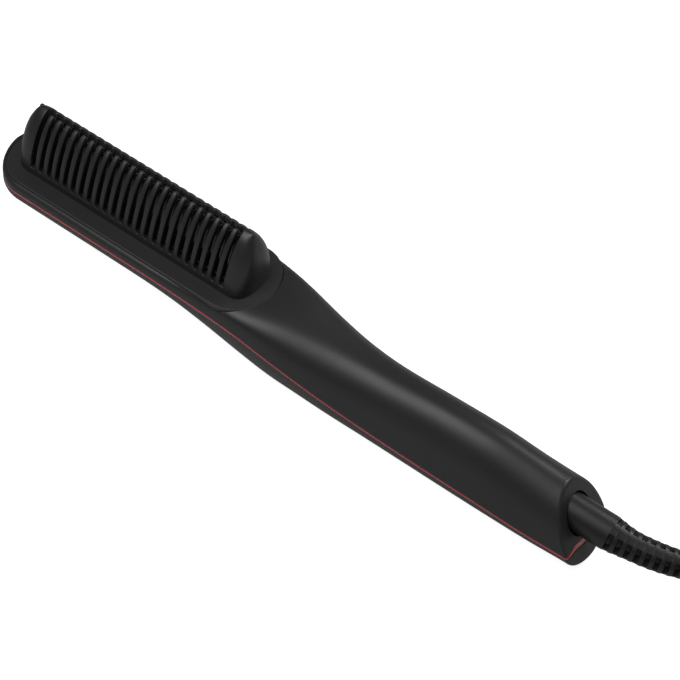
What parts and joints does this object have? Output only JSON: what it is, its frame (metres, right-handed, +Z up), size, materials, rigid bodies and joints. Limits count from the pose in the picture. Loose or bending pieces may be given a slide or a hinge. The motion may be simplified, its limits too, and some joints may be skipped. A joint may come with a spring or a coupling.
{
  "type": "hot comb",
  "caption": "Electric hot comb: heated teeth under a slotted guard cage on a long moulded handle with a red seam, back panel buttons and a swivel cord with plug",
  "frame": {"origin": "on the surface that the flat back of the handle lies on, under the middle of the comb without its cord", "axes": "+X runs from the nose to the cord end, +Z is up from the flat back to the teeth"},
  "size_m": [0.5228, 0.0584, 0.0612],
  "materials": {
    "shell": "satin charcoal moulding",
    "shell_lower": "satin charcoal moulding, a shade paler",
    "accent": "glossy red strip",
    "bezel": "fine matte",
    "cage": "satin heat-resistant nylon",
    "heated_comb": "glossy black ceramic coating on cast aluminium",
    "ceramic": "fired ceramic",
    "steel": "plain steel",
    "insulator": "heat-resistant moulding",
    "lead": "silicone insulation",
    "board": "green board",
    "black_plastic": "plain",
    "blue_plastic": "sleeve",
    "pale_plastic": "natural acetal",
    "window": "dark blank window",
    "button": "satin",
    "brass": "plain",
    "cord": "black flexible sheath",
    "nickel": "nickel-plated brass"
  },
  "bodies": {
    "handle": {"upper_shell": "shell", "lower_shell": "shell_lower", "accent_strip": "accent", "bezel": "bezel", "cage": "cage", "heated_comb": "heated_comb", "heater_near": "ceramic", "heater_far": "ceramic", "clamp_bar": "steel", "heat_carrier": "insulator", "thermistor": "ceramic", "thermal_fuse": "steel", "heater_leads": "lead", "circuit_board": "board", "power_block": "black_plastic", "capacitor": "blue_plastic", "display": "pale_plastic", "lens": "window", "panel": "bezel", "switch_power": "steel", "switch_plus": "steel", "switch_minus": "steel", "screw_head_front": "steel", "screw_head_rear": "steel", "screw_grip": "steel", "swivel_bush": "pale_plastic", "brush_live": "brass", "brush_neutral": "brass"},
    "cord_swivel": {"swivel_barrel": "pale_plastic", "slip_ring_live": "brass", "slip_ring_neutral": "brass", "strain_relief": "cord", "cord_lead": "cord", "cord_hank": "cord", "cord_tie": "black_plastic", "cord_tail": "cord", "plug_body": "black_plastic", "plug_pin_near": "nickel", "plug_pin_far": "nickel"},
    "power_button": {"button_power": "button"},
    "plus_button": {"button_plus": "button"},
    "minus_button": {"button_minus": "button"}
  },
  "joints": [
    {"name": "cord_turn", "type": "hinge", "parent": "handle", "child": "cord_swivel", "pos_m": [0.113, 0, 0.0185], "axis": [1, 0, 0], "continuous": true},
    {"name": "power_press", "type": "slide", "parent": "handle", "child": "power_button", "axis": [0, 0, 1], "range_m": [0, 0.0006], "stiffness_N_per_m": 900, "springref_m": -0.0005},
    {"name": "plus_press", "type": "slide", "parent": "handle", "child": "plus_button", "axis": [0, 0, 1], "range_m": [0, 0.0006], "stiffness_N_per_m": 900, "springref_m": -0.0005},
    {"name": "minus_press", "type": "slide", "parent": "handle", "child": "minus_button", "axis": [0, 0, 1], "range_m": [0, 0.0006], "stiffness_N_per_m": 900, "springref_m": -0.0005}
  ]
}
